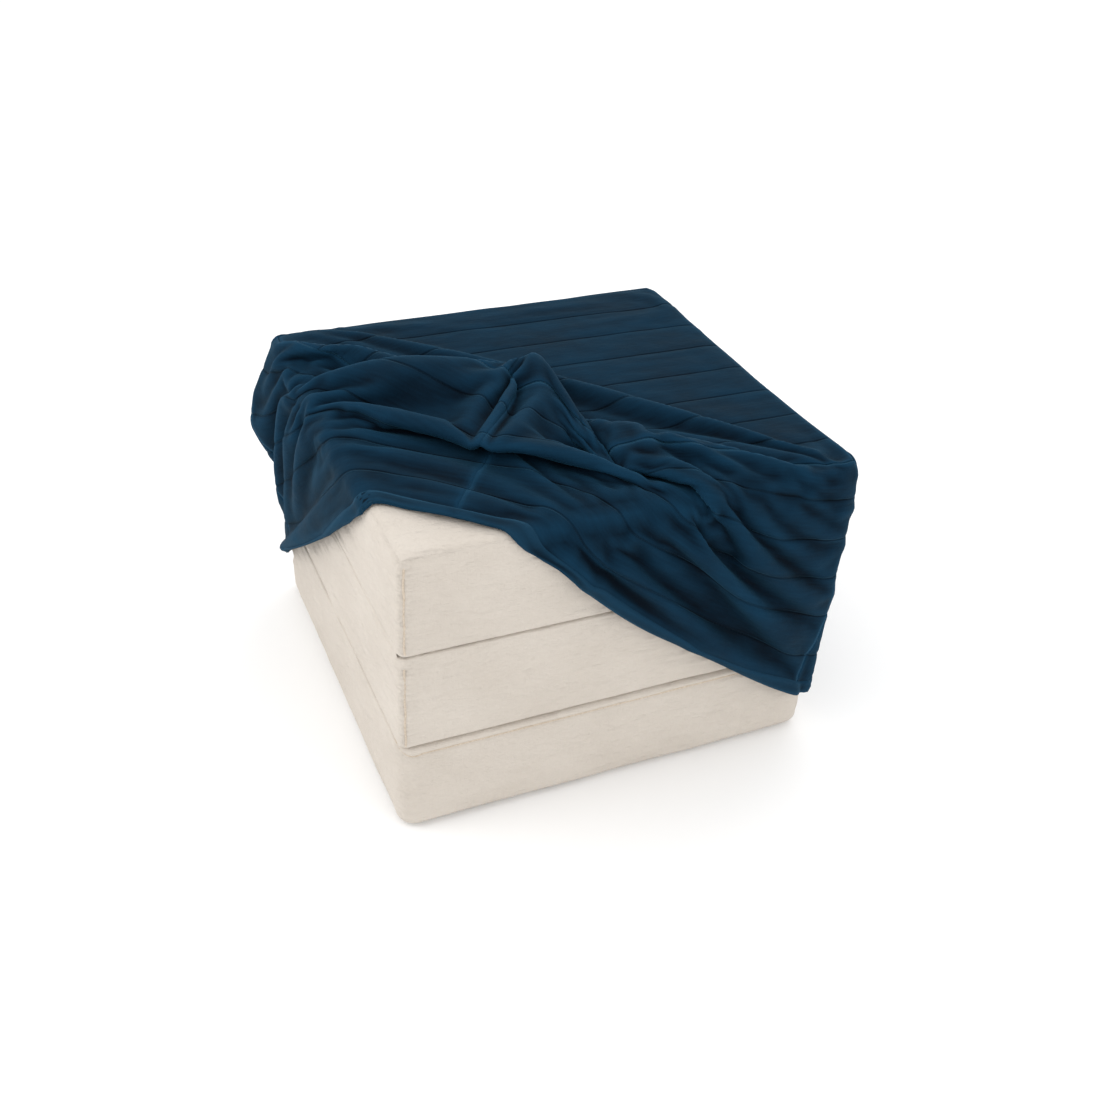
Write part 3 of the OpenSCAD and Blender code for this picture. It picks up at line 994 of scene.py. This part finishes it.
# ---------------------------------------------------------------- floor, light and camera
floor_mesh = bpy.data.meshes.new("studio_floor")
floor_mesh.from_pydata([(-12, -12, 0), (12, -12, 0), (12, 12, 0), (-12, 12, 0)], [], [(0, 1, 2, 3)])
floor = bpy.data.objects.new("studio_floor", floor_mesh)
scene.collection.objects.link(floor)
n = Nodes("studio_floor")
floor_mesh.materials.append(n.set(Base_Color=(0.96, 0.96, 0.96, 1), Roughness=0.9, Specular_IOR_Level=0.1))

world = bpy.data.worlds.new("studio")
scene.world = world
world.use_nodes = True
world.node_tree.nodes["Background"].inputs[0].default_value = (1, 1, 1, 1)
world.node_tree.nodes["Background"].inputs[1].default_value = 1.06


def area_light(name, place, power, size, target=(0, 0, 0.25)):
    data = bpy.data.lights.new(name, "AREA")
    data.energy, data.shape, data.size = power, "DISK", size
    obj = bpy.data.objects.new(name, data)
    scene.collection.objects.link(obj)
    obj.location = place
    obj.rotation_euler = (Vector(target) - Vector(place)).to_track_quat("-Z", "Y").to_euler()


area_light("key", (-2.6, 0.2, 2.4), 30, 2.2)
area_light("fill", (1.4, -2.6, 1.8), 12, 2.4)
area_light("floor_wash", (2.2, 2.0, 2.6), 26, 3.0, (1.8, 1.0, 0))

camera_data = bpy.data.cameras.new("camera")
camera = bpy.data.objects.new("camera", camera_data)
scene.collection.objects.link(camera)
azimuth, elevation, roll = (math.radians(a) for a in (64.473, -35.064, 3.868))
ahead = Vector((math.cos(elevation) * math.cos(azimuth), math.cos(elevation) * math.sin(azimuth), math.sin(elevation)))
right = ahead.cross(Vector((0, 0, 1))).normalized()
up = right.cross(ahead)
camera_x = math.cos(roll) * right + math.sin(roll) * up
camera_y = -math.sin(roll) * right + math.cos(roll) * up
camera.matrix_world = Matrix.Translation(Vector((-0.6707, -1.4448, 1.3142))) @ Matrix((camera_x, camera_y, -ahead)).transposed().to_4x4()
camera_data.sensor_width = 36
camera_data.lens = 41.844
camera_data.clip_end = 60
scene.camera = camera
scene.view_settings.view_transform = "Standard"
